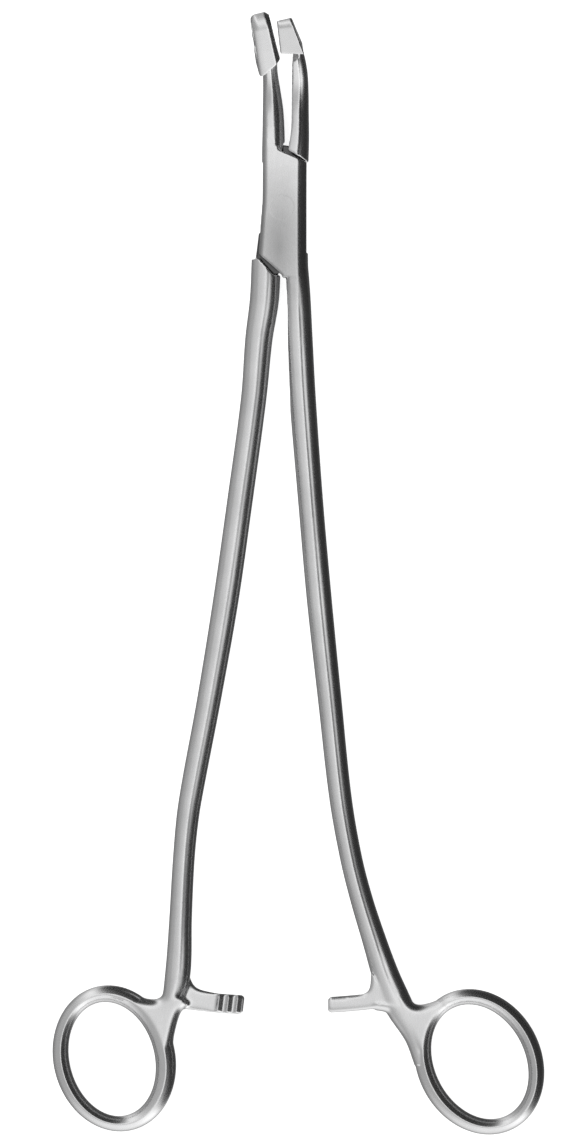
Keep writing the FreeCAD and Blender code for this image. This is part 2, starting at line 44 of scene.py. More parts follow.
REST_OPENING = 7.0          # degrees between the closed jaws and the rest pose
BOX_THICKNESS = 6.0
MIDDLE = BOX_THICKNESS / 2
BOX_LEFT = -4.4
BOX_RIGHT = 5.6
BOX_LEFT_FLANK = 0.9        # widths of the box's rounded flanks
BOX_RIGHT_FLANK = 2.3
TONGUE_THICKNESS = 2.3
SIDE_CLEARANCE = 0.05       # between the faces of the tongue and of its slot
EDGE_CLEARANCE = 0.12       # between edges that meet when the jaws are closed
SLOT_HALF_LENGTH = 9.65     # the slot is open to both sides of the box over this half length
TONGUE_REACH = 9.5          # corners of the tongue turn inside the slot on this radius
TONGUE_LEFT_INSET = 0.5     # edges of the tongue inside the edges of the box
TONGUE_RIGHT_INSET = 1.4
PIN_RECESS_RADIUS = 2.52    # just past the head of the rivet
PIN_PROUD = 0.03            # the box is polished this much lower round the rivet
BASKET_FLANKS = (0.20, 0.44)    # shares of a bar's width that are its rounded flanks, left and right
PUNCH_FLANKS = (0.22, 0.40)
BASKET_ARM_FLANKS = (0.18, 0.43)
PUNCH_ARM_FLANKS = (0.08, 0.60)
NECK_FLANKS = (0.25, 0.60)      # the same for an arm where it runs into its jaw
NECK_START = 26.0
CROWN = 0.13                # the front and back faces of a bar are domed by this much
FLUSH_END = 14.0            # the bars of the basket half are flush with the box this far from the pivot
FLUSH_RUN = 9.0             # and fully domed after this much more

HEAD_BEND = 33.0            # degrees that the jaws rise out of the plane of the shanks
HEAD_LEAN = 14.0            # degrees that they lean to the left
BEND_START = 20.0           # the arms leave the plane of the shanks at this height
BEND_MARGIN = 2.0           # and are straight again this far below the jaws
HEAD_X = -0.2               # where the rim of the basket's heel is
HEAD_Y = 30.8
BASKET_LENGTH = 12.9
BASKET_TIP_RADIUS = 2.76
BASKET_DEPTH = 4.6
BASKET_WALL = 1.0
BASKET_FLOOR = 0.8
BASKET_BAR = 0.9            # width of the two bars that divide its windows
LATTICE_SHARE = 0.45        # the cross bar lies at this share of the lattice's length
BASKET_HEEL = 2.6           # the heel is cut back by this much at the rim
HEEL_RISE = 0.6             # and by this much more for each millimetre above the rim
JAW_TAPER = 7.0
JAW_ROUNDING = 1.3          # rounding of the basket's back
RIM_BEVEL = 0.95            # the rim of the basket is bevelled by this much
BASKET_DEEPER = 0.22        # the basket is deeper at its heel than at its tip by this share
PUNCH_CLEARANCE = 0.15      # between the punch and the wall of the basket
PUNCH_DRAFT = 6.0
PUNCH_ENTRY = 3.6           # how deep the punch goes into the basket
PUNCH_WALL = 0.7
PUNCH_BACK_BASE = 1.4       # its back over the rim of the basket, at its base and at its tip
PUNCH_BACK_TIP = -0.4
PUNCH_TIP_GAP = 0.3

RING_THICKNESS = 5.0
RING_FLANK_SHARE = 0.43
BASKET_RING = {"x": 42.4, "y": -183.6, "lean": 27.0, "outer": (16.2, 13.4), "inner": (12.9, 9.7),
               "shift": (0.15, 0.0)}
PUNCH_RING = {"x": -13.5, "y": -185.9, "lean": 22.0, "outer": (15.9, 13.1), "inner": (12.45, 9.1),
              "shift": (-0.45, -0.2)}

RATCHET_RADIUS = 171.6
RATCHET_BAR = 1.6
TOOTH_HEIGHT = 0.6
TOOTH_PITCH = 2.0
TOOTH_COUNT = 3
TOOTH_BASE_SHARE = 0.75     # foot of a tooth, and its crest, as shares of the pitch
TOOTH_CREST_SHARE = 0.55
TOOTH_WIDTH_SHARE = 0.9     # of the width of the bar
TOOTH_ROOT = 0.3            # how far a tooth goes on inside the bar
FIRST_TOOTH = 0.4           # from the tip of the bar
PLAIN_PITCHES = 3.8         # length of a bar behind its teeth, in pitches
TIP_NARROWING = 0.5         # the tip of a bar is narrower by this much on each side, over as much
TOOTH_GAP = 0.12            # between the teeth of the two bars
BASKET_RATCHET_TIP = 9.9
PUNCH_RATCHET_TIP = 12.7
BASKET_RATCHET_WIDTH = 3.4
PUNCH_RATCHET_WIDTH = 4.1

# Stations along each shank: y, x of the middle, width across, height in Z
BASKET_SHANK = [(-11.5, 2.9, 5.3, 5.98), (-16.0, 3.15, 5.55, 5.9), (-20.0, 3.35, 5.7, 5.5),
                (-28.0, 3.75, 5.7, 5.2), (-41.0, 4.45, 5.7, 5.0), (-63.0, 6.15, 5.4, 4.9),
                (-84.0, 8.0, 5.4, 4.8), (-106.0, 10.3, 5.1, 4.7), (-127.0, 12.6, 4.85, 4.6),
                (-140.0, 14.9, 4.75, 4.6), (-149.0, 17.2, 4.85, 4.6), (-157.5, 19.85, 5.2, 4.7),
                (-165.0, 22.3, 5.9, 4.8), (-171.5, 25.1, 6.2, 4.9), (-178.0, 28.6, 4.8, 4.8),
                (-184.0, 30.15, 3.4, 4.4)]
PUNCH_SHANK = [(-11.5, -2.0, 6.3, 5.6), (-20.0, -1.35, 6.3, 5.4), (-28.5, -1.5, 5.9, 5.2),
               (-41.5, -1.05, 5.5, 5.0), (-63.5, -1.3, 5.5, 4.9), (-85.0, -1.7, 5.5, 4.8),
               (-107.0, -2.7, 5.15, 4.7), (-124.0, -3.8, 5.0, 4.6), (-132.0, -4.15, 4.85, 4.6),
               (-141.5, -3.9, 4.7, 4.6), (-154.5, -3.0, 4.9, 4.7), (-163.0, -2.3, 5.4, 4.8),
               (-167.5, -2.2, 5.4, 4.9), (-171.5, -2.7, 4.3, 4.9), (-178.5, -3.0, 3.4, 4.8),
               (-185.0, -2.85, 3.4, 4.4)]

# Stations along each arm, from the box to the neck of its jaw: y, left edge, right edge, height
BASKET_ARM = [(8.0, -4.3, 0.62, 5.98), (13.3, -4.28, 0.62, 5.96), (17.0, -4.2, 0.55, 5.6),
              (21.0, -4.15, 0.3, 5.2), (25.0, -4.1, -0.3, 4.9), (28.8, -4.15, -0.9, 4.5),
              (31.4, -4.4, -0.95, 4.3), (33.0, -4.6, -0.85, 4.3)]
PUNCH_ARM = [(9.0, -0.6, 4.6, 5.7), (13.0, -0.5, 4.25, 5.5), (17.0, -0.35, 3.8, 5.4),
             (21.0, -0.75, 3.25, 5.2), (25.0, -1.2, 2.7, 4.8), (28.5, -1.7, 2.1, 4.5),
             (31.0, -2.1, 1.4, 4.3), (33.2, -2.35, 0.6, 4.3), (35.2, -2.6, -0.1, 4.3)]

# Edges of the box lock: y, left edge, right edge
BOX_EDGES = [(-15.0, BOX_LEFT - 1.3, BOX_RIGHT + 0.1), (-9.7, BOX_LEFT - 0.85, BOX_RIGHT),
             (-3.0, BOX_LEFT - 0.35, BOX_RIGHT), (2.0, BOX_LEFT, BOX_RIGHT),
             (13.2, BOX_LEFT + 0.1, BOX_RIGHT + 0.1)]

# Where the halves meet when the jaws are closed, seen from the front: the shoulders of the box, and
# the front edges of the basket half below the box and of the punch half above it
LOWER_SHOULDER = [(0.0, -14.4), (-5.38, -9.68), (-8.0, -7.4)]
UPPER_SHOULDER = [(8.0, 8.58), (4.52, 10.11), (-0.86, 12.47)]
LOWER_DIVIDE = [(2.6, -60.0), (1.75, -44.0), (1.05, -28.0), (0.5, -20.0)]
UPPER_DIVIDE = [(-0.9, 20.0), (-1.0, 23.0), (-1.4, 26.5), (-1.85, 29.0), (-2.2, 30.0), (-2.6, 31.0),
                (-2.6, 60.0)]

# Blends between a ring and what it stands on, seen from the front: a point on the shank, the corner,
# the point on the ring as degrees round it, degrees where the ring runs into the shank, and a point
# inside the shank
BASKET_RING_BLENDS = [((26.4, -167.2), (28.6, -172.0), -2.0, -38.0, (26.0, -171.5)),
                      ((18.6, -172.7), (25.0, -173.2), -60.0, -38.0, (26.0, -171.5))]
PUNCH_RING_BLENDS = [((-4.6, -167.8), (-5.3, -173.0), 15.0, 84.0, (-2.2, -172.0)),
                     ((2.0, -172.9), (-0.8, -174.3), 93.0, 76.0, (-1.8, -171.0))]

# Blends between a ratchet bar and its shank: a point on each, the corner, and a point inside both
BASKET_RATCHET_BLEND = ((18.6, -163.2), (13.0, -169.4), (19.0, -168.9), (22.5, -170.6))
PUNCH_RATCHET_BLEND = ((0.4, -165.0), (10.7, -169.3), (1.74, -169.2), (-0.5, -171.6))
BLEND_THICKNESS = 4.9
BLEND_OVERLAP = 1.1         # how far a blend runs on inside the forms that it joins
BLEND_ROUNDING = 1.6
RATCHET_ROUNDING = 0.4
BACK_ROUNDING = (1.1, 0.75)     # the back of a ratchet bar is rounded along its edges: across, deep

# Where the tongue leaves the slot to reach the shank and the arm of the punch half
LOWER_WEB = [(2.6, -9.0), (2.3, -14.0)]
UPPER_WEB = [(-2.6, 9.0), (-2.4, 13.4)]
WEB_ROOM = 0.5              # room past the end of each web, for its swing

# The rest of each web's outline, inside the tongue at its start and inside the bar at its end
LOWER_WEB_START = [(-4.3, -6.0), (2.6, -6.0)]
LOWER_WEB_END = [(0.9, -14.0), (0.3, -18.0), (-3.5, -18.0), (-4.3, -13.0)]
UPPER_WEB_START = [(3.9, 6.0), (-2.6, 6.0)]
UPPER_WEB_END = [(1.1, 13.4), (1.5, 18.0), (3.0, 18.0), (3.9, 13.0)]

# Tools that cut right through are this tall in Z, and reach this far past the edges seen from the front
PLAN_DEPTH = 3 * BOX_THICKNESS
FAR = 20.0

VOXEL = 0.16                # the steel is remeshed at this size, which rounds its edges like polishing
POLISH_WEIGHT = 0.5         # share of the way that a point moves towards its neighbours' middle
POLISH_PASSES = 5
SOFT_EDGE = 1.6             # steepness of a soft zone's edge

# Places that are buffed softer: centre, radius and number of passes
BASKET_SOFT_ZONES = [((26.5, -173.0, MIDDLE), 11.0, 30), ((18.8, -163.0, MIDDLE), 4.5, 25)]
PUNCH_SOFT_ZONES = [((-3.5, -174.0, MIDDLE), 10.0, 30), ((1.5, -171.5, 4.0), 5.0, 25),
                    ((-4.5, 37.0, 10.0), 8.0, 8)]

STEEL_TONE = 0.72
TONGUE_SHADE_TONE = 0.1           # painted shade: the tongue's faces inside the lock are drawn this dark, standing in for the shade in the slot's gaps
FACE_MARGIN = 0.15          # its faces are looked for this far past the tongue's thickness
INSIDE_LOCK = 19.0          # and this far from the pivot
BOX_SHADE_SPOT = ((-0.6, -8.5, 6.0), (8.0, 19.0, 6.0))    # painted shade on the face of the box, darker towards its middle: centre and radii
SPOT_LEVEL = 0.5            # brightness in the middle of the spot of painted shade
GRAIN_SCALE = (9000, 250, 9000)

# Brightness of the studio in reflections, across it towards its dark side
DARK_SIDE = (0.85, 0.53, 0.0)
STUDIO_LEVELS = [(0.0, 0.58), (0.25, 0.65), (0.38, 0.74), (0.46, 1.0), (0.5, 1.25), (0.57, 1.7),
                 (0.63, 1.35), (0.69, 0.10), (0.8, 0.04), (1.0, 0.03)]


def to_object(name, points, faces):
    """A mesh object in metres from points in millimetres."""
    mesh = bpy.data.meshes.new(name)
    mesh.from_pydata([Vector(p) * MM for p in points], [], faces)
    mesh.update()
    made = bpy.data.objects.new(name, mesh)
    bpy.context.scene.collection.objects.link(made)
    return made


def loft(sections):
    """A closed solid through sections, which are loops with the same number of points."""
    count = len(sections[0])
    points = [p for section in sections for p in section]
    faces = [list(range(count))[::-1], [len(points) - count + i for i in range(count)]]
    for row in range(len(sections) - 1):
        for i in range(count):
            j = (i + 1) % count
            low, high = row * count, (row + 1) * count
            faces.append([low + i, low + j, high + j, high + i])
    made = to_object("part", points, faces)
    outward(made)
    return made


def outward(made):
    """Turns the faces of a closed mesh outwards."""
    shape = bmesh.new()
    shape.from_mesh(made.data)
    bmesh.ops.recalc_face_normals(shape, faces=shape.faces)
    shape.to_mesh(made.data)
    shape.free()


def prism(outline, bottom, height):
    """A solid with an outline seen from the front."""
    return loft([[(x, y, z) for x, y in outline] for z in (bottom, bottom + height)])


def cylinder(rows, count=96):
    """A turned solid about the pivot axis: rows of z and radius."""
    return loft([[(radius * cos(2 * pi * i / count), radius * sin(2 * pi * i / count), z)
                  for i in range(count)] for z, radius in rows])


def applied(made):
    """Replaces an object's mesh by what its modifiers make of it."""
    depsgraph = bpy.context.evaluated_depsgraph_get()
    mesh = bpy.data.meshes.new_from_object(made.evaluated_get(depsgraph))
    made.modifiers.clear()
    made.data = mesh
    return made


def boolean(made, others, operation):
    """Cuts, or keeps what is common to, an object and each of the others."""
    for other in others:
        modifier = made.modifiers.new("cut", "BOOLEAN")
        modifier.operation = operation
        modifier.solver = "EXACT"
        modifier.object = other
        applied(made)
    return made


def cut(made, others):
    return boolean(made, others, "DIFFERENCE")


def removed(objects):
    for made in objects:
        bpy.data.objects.remove(made)


def joined(name, parts):
    """One object with all the parts' faces in it, overlapping as they are."""
    points, faces = [], []
    for part in parts:
        start = len(points)
        points += [tuple(v.co / MM) for v in part.data.vertices]
        faces += [[start + i for i in polygon.vertices] for polygon in part.data.polygons]
    removed(parts)
    return to_object(name, points, faces)


def filled_in(rows, step):
    """Rows with more between them, on smooth curves through the given ones. Each row starts with its y."""
    count = len(rows)
    slopes = []
    for index in range(count):
        before = rows[max(index - 1, 0)]
        after = rows[min(index + 1, count - 1)]
        slopes.append([(b - a) / (after[0] - before[0]) for a, b in zip(before, after)])
    result = []
    for index in range(count - 1):
        start, end = rows[index], rows[index + 1]
        run = end[0] - start[0]
        parts = max(1, round(abs(run) / step))
        for part in range(parts):
            t = part / parts
            row = []
            for a, b, slope_a, slope_b in zip(start, end, slopes[index], slopes[index + 1]):
                bend = (1 - t) * (slope_a * run - b + a) - t * (slope_b * run - b + a)
                row.append(a + t * (b - a) + t * (1 - t) * bend)
            result.append(tuple(row))
    return result + [rows[-1]]


def quarter(width, height, flank, crown):
    """The upper right quarter of a bar's section, from its flank to its middle, as (x, z) points."""
    flat = width / 2 - flank
    top = height / 2 - crown
    radius = (top ** 2 + flank ** 2) / (2 * flank)
    centre = width / 2 - radius
    swing = atan2(top, flat - centre)
    steps = 12
    points = [(centre + radius * cos(swing * k / steps), radius * sin(swing * k / steps))
              for k in range(steps)]
    return points + [(flat * t, height / 2 - crown * t ** 2) for t in (1, 0.8, 0.6, 0.4, 0.2, 0)]


def bar_section(width, height, left, right, crown=CROWN):
    """Loop in the XZ plane: domed front and back faces with crisp edges, and round flanks."""
    upper = quarter(width, height, right, crown)
    upper += [(-x, z) for x, z in quarter(width, height, left, crown)[-2::-1]]
    return [(x, 0, z) for x, z in upper] + [(x, 0, -z) for x, z in upper[-2:0:-1]]


def placed(points, x, y, z, lean, pitch):
    """Points pitched about X, then leaned about Z, in degrees, and moved."""
    turn = Matrix.Rotation(radians(lean), 3, "Z") @ Matrix.Rotation(radians(pitch), 3, "X")
    return [turn @ Vector(p) + Vector((x, y, z)) for p in points]


def crown_at(away, flush):
    """How far a bar is domed at a distance from the pivot: not at all where it is flush with the box."""
    if not flush:
        return CROWN
    return CROWN * min(max((away - FLUSH_END) / FLUSH_RUN, 0), 1)


def shank(stations, flanks, flush=False):
    """A shank through its stations, with its flanks as shares of its width."""
    rows = filled_in(stations, 1.5)
    sections = []
    for index, (y, x, width, height) in enumerate(rows):
        before = rows[max(index - 1, 0)]
        after = rows[min(index + 1, len(rows) - 1)]
        lean = atan2(after[1] - before[1], before[0] - after[0]) * 180 / pi
        section = bar_section(width, height, flanks[0] * width, flanks[1] * width, crown_at(-y, flush))
        sections.append(placed(section, x, y, MIDDLE, lean, 0))
    return loft(sections)


def bend_height(y):
    """How far the middle of an arm has risen out of the plane of the shanks, and its pitch."""
    reach = HEAD_Y - BEND_MARGIN - BEND_START
    radius = reach / sin(radians(HEAD_BEND))
    if y <= BEND_START:
        return 0.0, 0.0
    run = min(y - BEND_START, reach)
    rise = radius - sqrt(radius ** 2 - run ** 2)
    rest = y - BEND_START - run
    return rise + rest * tan(radians(HEAD_BEND)), atan2(run, sqrt(radius ** 2 - run ** 2)) * 180 / pi


def arm(stations, flanks, flush=False):
    """An arm through its stations, bent up towards its jaw."""
    neck_end = stations[-1][0]
    sections = []
    for y, left, right, height in filled_in(stations, 0.6):
        rise, pitch = bend_height(y)
        lean = HEAD_LEAN * pitch / HEAD_BEND
        width = right - left
        neck = min(max((y - NECK_START) / (neck_end - NECK_START), 0), 1)
        left_flank, right_flank = [width * (a + (b - a) * neck) for a, b in zip(flanks, NECK_FLANKS)]
        section = bar_section(width, height, left_flank, right_flank, crown_at(y, flush))
        sections.append(placed(section, (left + right) / 2, y, MIDDLE + rise, lean, pitch))
    return loft(sections)


def box_block():
    """The box lock without its slot."""
    sections = []
    for y, left, right in filled_in(BOX_EDGES, 1.0):
        section = bar_section(right - left, BOX_THICKNESS, BOX_LEFT_FLANK, BOX_RIGHT_FLANK, 0)
        sections.append(placed(section, (left + right) / 2, y, MIDDLE, 0, 0))
    return loft(sections)


def box_ground(gap):
    """What the punch half leaves to the box and to the front of the basket half's arm, less a gap."""
    lower = [(x + gap, y + gap) for x, y in LOWER_SHOULDER]
    upper = [(x - gap, y - gap) for x, y in UPPER_SHOULDER + UPPER_DIVIDE]
    left = [(-FAR, lower[-1][1]), (-FAR, upper[-1][1])]
    outline = [(FAR, lower[0][1])] + lower + left + upper[::-1] + [(FAR, upper[0][1])]
    return prism(outline, -BOX_THICKNESS, PLAN_DEPTH)


def punch_ground():
    """What the box and the shank of the basket half leave to the closed punch half, seen from the front."""
    lower = LOWER_DIVIDE + LOWER_SHOULDER
    upper = UPPER_SHOULDER + UPPER_DIVIDE
    lower += [(-FAR, lower[-1][1]), (-FAR, lower[0][1])]
    upper += [(FAR, upper[-1][1]), (FAR, upper[0][1])]
    return [prism(outline, -BOX_THICKNESS, PLAN_DEPTH) for outline in (lower, upper)]


def punch_shank_room():
    """The hollow in the inner flank of the basket half, for the flank of the closed punch half."""
    gap = 2 * EDGE_CLEARANCE
    room = shank([(y, x, width + gap, height + gap) for y, x, width, height in PUNCH_SHANK],
                 PUNCH_FLANKS)
    box = box_ground(0)
    cut(room, [box])
    removed([box])
    return room


def basket_arm_room():
    """The hollow in the inner flank of the punch half's arm, for the flank of the basket half's arm."""
    gap = 2 * EDGE_CLEARANCE
    return arm([(y, left - gap, right + gap, height + gap) for y, left, right, height in BASKET_ARM],
               BASKET_ARM_FLANKS)


def tongue():
    """The thin web of the punch half that passes through the slot of the box."""
    bottom = MIDDLE - TONGUE_THICKNESS / 2
    left, right = BOX_LEFT + TONGUE_LEFT_INSET, BOX_RIGHT - TONGUE_RIGHT_INSET
    core = prism([(left, -SLOT_HALF_LENGTH), (right, -SLOT_HALF_LENGTH), (right, SLOT_HALF_LENGTH),
                  (left, SLOT_HALF_LENGTH)], bottom, TONGUE_THICKNESS)
    disc = cylinder([(0, TONGUE_REACH), (BOX_THICKNESS, TONGUE_REACH)])
    core = boolean(core, [disc], "INTERSECT")
    removed([disc])
    lower = prism(LOWER_WEB_START + LOWER_WEB + LOWER_WEB_END, bottom, TONGUE_THICKNESS)
    upper = prism(UPPER_WEB_START + UPPER_WEB + UPPER_WEB_END, bottom, TONGUE_THICKNESS)
    return [core, lower, upper]


def slot():
    """The room in the basket half for the tongue, wherever the punch half swings."""
    height = TONGUE_THICKNESS + 2 * SIDE_CLEARANCE
    bottom = MIDDLE - height / 2
    lower_x = LOWER_WEB[0][0] + EDGE_CLEARANCE
    upper_x = UPPER_WEB[0][0] - EDGE_CLEARANCE
    lower_y = LOWER_WEB[-1][1] - WEB_ROOM
    upper_y = UPPER_WEB[-1][1] + WEB_ROOM
    outlines = [[(-FAR, -SLOT_HALF_LENGTH), (FAR, -SLOT_HALF_LENGTH), (FAR, SLOT_HALF_LENGTH),
                 (-FAR, SLOT_HALF_LENGTH)],
                [(-FAR, 0), (lower_x, 0), (lower_x, lower_y), (-FAR, lower_y)],
                [(FAR, 0), (upper_x, 0), (upper_x, upper_y), (FAR, upper_y)]]
    return [prism(outline, bottom, height) for outline in outlines]


def tapered_outline(length, tip_radius, base, x=0.0, rounding=0.0):
    """Loop in the YZ plane at x: a jaw seen square on, from its base to its round tip."""
    taper = radians(JAW_TAPER)
    middle = length - tip_radius
    radius = tip_radius - rounding
    side_y = middle + tip_radius * sin(taper)
    side_z = tip_radius * cos(taper)
    base_z = side_z + (side_y - base) * tan(taper) - rounding
    steps = 32
    loop = [(x, base, base_z), (x, base, -base_z)]
    for k in range(steps + 1):
        turn = -(pi / 2 - taper) + (pi - 2 * taper) * k / steps
        loop.append((x, middle + radius * cos(turn), radius * sin(turn)))
    return loop


def jaw_frame(made):
    """Moves a jaw, drawn with its rim at x = 0 and its base at y = 0, to its place."""
    rise = bend_height(HEAD_Y)[0]
    place = Vector((HEAD_X, HEAD_Y, MIDDLE + rise)) * MM
    turn = Matrix.Rotation(radians(HEAD_LEAN), 4, "Z") @ Matrix.Rotation(radians(HEAD_BEND), 4, "X")
    made.data.transform(Matrix.Translation(place) @ turn)
    return made


def basket_pocket():
    """The room inside the basket, and the four windows through its floor."""
    base = BASKET_HEEL + BASKET_WALL
    inner = (BASKET_LENGTH - BASKET_WALL, BASKET_TIP_RADIUS - BASKET_WALL, base)
    room = loft([tapered_outline(*inner, x) for x in (BASKET_FLOOR - BASKET_DEPTH, 2 * BASKET_DEPTH)])
    windows = loft([tapered_outline(*inner, x) for x in (-2 * BASKET_DEPTH, -0.5 * BASKET_DEPTH)])
    cross_y = base + LATTICE_SHARE * (BASKET_LENGTH - BASKET_WALL - base)
    half = BASKET_BAR / 2
    through = (-3 * BASKET_DEPTH, 0)
    long_bar = loft([[(x, 0, -half), (x, FAR, -half), (x, FAR, half), (x, 0, half)] for x in through])
    cross_bar = loft([[(x, cross_y - half, -FAR), (x, cross_y + half, -FAR), (x, cross_y + half, FAR),
                       (x, cross_y - half, FAR)] for x in through])
    cut(windows, [long_bar, cross_bar])
    removed([long_bar, cross_bar])
    return [jaw_frame(room), jaw_frame(windows)]


def basket_block(shift=0.0):
    """The outer form of the basket: a tapered block with round edges, cut back at its heel."""
    sections = []
    steps = 6
    past = 1.0              # the tool for the heel reaches past the block by this much
    for depth in (0, RIM_BEVEL):
        sections.append(tapered_outline(BASKET_LENGTH, BASKET_TIP_RADIUS, 0, shift - depth,
                                        0.9 * (RIM_BEVEL - depth)))
    for k in range(steps + 1):
        turn = pi / 2 * k / steps
        inset = JAW_ROUNDING * (1 - cos(turn))
        depth = -BASKET_DEPTH + JAW_ROUNDING * (1 - sin(turn))
        sections.append(tapered_outline(BASKET_LENGTH, BASKET_TIP_RADIUS, 0, shift + depth, inset))
    sections = [[(x * (1 + BASKET_DEEPER * (0.6 - y / BASKET_LENGTH)), y, z) for x, y, z in section]
                for section in sections]
    block = loft(sections)
    heel = prism([(past, -FAR), (past, BASKET_HEEL + HEEL_RISE * past), (0, BASKET_HEEL),
                  (-BASKET_DEPTH, 0), (-BASKET_DEPTH - past, 0), (-BASKET_DEPTH - past, -FAR)],
                 -PLAN_DEPTH / 2, PLAN_DEPTH)
    cut(block, [heel])
    removed([heel])
    return jaw_frame(block)


def punch_block(wall):
    """The outer form of the punch, or with a wall given, the hollow inside it."""
    base = BASKET_HEEL + BASKET_WALL + PUNCH_CLEARANCE
    tip = BASKET_LENGTH - BASKET_WALL - PUNCH_TIP_GAP
    slope = (PUNCH_BACK_TIP - PUNCH_BACK_BASE) / (tip - base)
    past = 2.0              # the tool for the back reaches past the tip by this much
    sections = []
    for x in (-2 * PUNCH_ENTRY if wall else -PUNCH_ENTRY, PUNCH_ENTRY):
        inset = PUNCH_CLEARANCE + wall - x * tan(radians(PUNCH_DRAFT))
        sections.append(tapered_outline(tip - inset, BASKET_TIP_RADIUS - BASKET_WALL - inset,
                                        BASKET_HEEL + BASKET_WALL + inset, x))
    body = loft(sections)
    profile = prism([(-3 * PUNCH_ENTRY, 0), (PUNCH_BACK_BASE - wall - base * slope, 0),
                     (PUNCH_BACK_TIP - wall + past * slope, tip + past),
                     (-3 * PUNCH_ENTRY, tip + past)], -PLAN_DEPTH / 2, PLAN_DEPTH)
    body = boolean(body, [profile], "INTERSECT")
    removed([profile])
    return jaw_frame(body)


def hollow_web(start, corner, end, rest, bottom, height, rounding):
    """A web with one hollow curved side that bends round a corner, and is rounded front and back."""
    steps = 24
    curve = []
    for k in range(steps + 1):
        t = k / steps
        curve.append(start * (1 - t) ** 3 + corner * 3 * t * (1 - t) + end * t ** 3)
    middle = steps // 2
    way = 1
    if Vector((-(end - start).y, (end - start).x)).dot(corner - curve[middle]) < 0:
        way = -1
    inward = []
    for k in range(steps + 1):
        along = curve[min(k + 1, steps)] - curve[max(k - 1, 0)]
        inward.append(way * Vector((-along.y, along.x)).normalized())
    sections = []
    parts = 12
    for k in range(parts + 1):
        turn = pi * k / parts
        depth = height * (1 - cos(turn)) / 2
        inset = rounding * (1 - sin(turn))
        outline = [p + side * inset for p, side in zip(curve, inward)] + rest
        sections.append([(p.x, p.y, bottom + depth) for p in outline])
    return loft(sections)


def ratchet_blend(points, bottom):
    """The web in the corner between a ratchet bar and its shank."""
    start, end, corner, inside = [Vector(p) for p in points]
    start = start + (inside - start).normalized() * BLEND_OVERLAP
    end = end + (inside - end).normalized() * BLEND_OVERLAP
    return hollow_web(start, corner, end, [inside], bottom, RATCHET_BAR, RATCHET_ROUNDING)


def ring_blend(spec, points):
    """The web in the corner between a finger ring and the shank or ratchet bar beside it."""
    start, corner, ring_end, ring_root, inside = points
    inside = Vector(inside)
    start = Vector(start)
    start = start + (inside - start).normalized() * BLEND_OVERLAP
    steps = 4
    along_ring = []
    for index in range(steps + 1):
        turn = radians(ring_end + (ring_root - ring_end) * index / steps)
        along_ring.append((Vector(oval_point(spec, "outer", turn))
                           + Vector(oval_point(spec, "inner", turn))) / 2)
    outer = Vector(oval_point(spec, "outer", radians(ring_end)))
    end = outer + (along_ring[0] - outer).normalized() * BLEND_OVERLAP / 2
    return hollow_web(start, Vector(corner), end, along_ring + [inside], MIDDLE - BLEND_THICKNESS / 2,
                      BLEND_THICKNESS, BLEND_ROUNDING)


def oval_point(spec, name, turn):
    """The x and y of a point on a ring's outer or inner edge, at a turn in radians."""
    lean = radians(spec["lean"])
    shift = spec["shift"] if name == "inner" else (0, 0)
    along = spec[name][0] * cos(turn)
    across = spec[name][1] * sin(turn)
    x = spec["x"] + shift[0] - along * sin(lean) + across * cos(lean)
    y = spec["y"] + shift[1] + along * cos(lean) + across * sin(lean)
    return x, y


def ring(spec):
    """A finger ring, in two halves that meet."""
    halves = []
    for first in (0, 180):
        sections = []
        steps = 60
        for index in range(steps + 1):
            turn = radians(first + 180.0 * index / steps)
            outer_x, outer_y = oval_point(spec, "outer", turn)
            inner_x, inner_y = oval_point(spec, "inner", turn)
            width = sqrt((outer_x - inner_x) ** 2 + (outer_y - inner_y) ** 2)
            lean = atan2(outer_y - inner_y, outer_x - inner_x) * 180 / pi
            flank = RING_FLANK_SHARE * width
            section = bar_section(width, RING_THICKNESS, flank, flank)
            sections.append(placed(section, (outer_x + inner_x) / 2, (outer_y + inner_y) / 2, MIDDLE,
                                   lean, 0))
        halves.append(loft(sections))
    return halves


def ratchet(tip_x, inward, width, face_z, tooth_way):
    """A ratchet bar on an arc about the pivot, with teeth on one face. inward is +1 or -1."""
    length = TOOTH_PITCH * (TOOTH_COUNT + PLAIN_PITCHES)
    back_z = face_z - tooth_way * RATCHET_BAR
    sections = []
    steps = 24
    for k in range(steps + 1):
        x = tip_x - inward * length * (1 - k / steps)
        to_tip = abs(tip_x - x)
        narrow = TIP_NARROWING * max(0.0, 1 - to_tip / TIP_NARROWING) ** 2
        middle_y = -sqrt(RATCHET_RADIUS ** 2 - x ** 2)
        half = width / 2 - narrow
        section = [(x, middle_y + half, face_z), (x, middle_y - half, face_z)]
        for corner_way in (-1, 1):
            corner = []
            for turn in (0, pi / 8, pi / 4, 3 * pi / 8, pi / 2):
                across = half - BACK_ROUNDING[0] * (1 - cos(turn))
                depth = BACK_ROUNDING[1] * (1 - sin(turn))
                corner.append((x, middle_y + corner_way * across, back_z + tooth_way * depth))
            section += corner if corner_way < 0 else corner[::-1]
        sections.append(section)
    parts = [loft(sections)]
    for index in range(TOOTH_COUNT):
        start = tip_x - inward * (FIRST_TOOTH + index * TOOTH_PITCH)
        base = start - inward * TOOTH_PITCH * TOOTH_BASE_SHARE
        crest = start - inward * TOOTH_PITCH * TOOTH_CREST_SHARE
        middle_y = -sqrt(RATCHET_RADIUS ** 2 - start ** 2)
        half = TOOTH_WIDTH_SHARE * width / 2
        root = face_z - tooth_way * TOOTH_ROOT
        profile = [(start, root), (start, face_z), (crest, face_z + tooth_way * TOOTH_HEIGHT),
                   (base, face_z), (base, root)]
        parts.append(loft([[(x, y, z) for x, z in profile] for y in (middle_y - half, middle_y + half)]))
    return parts


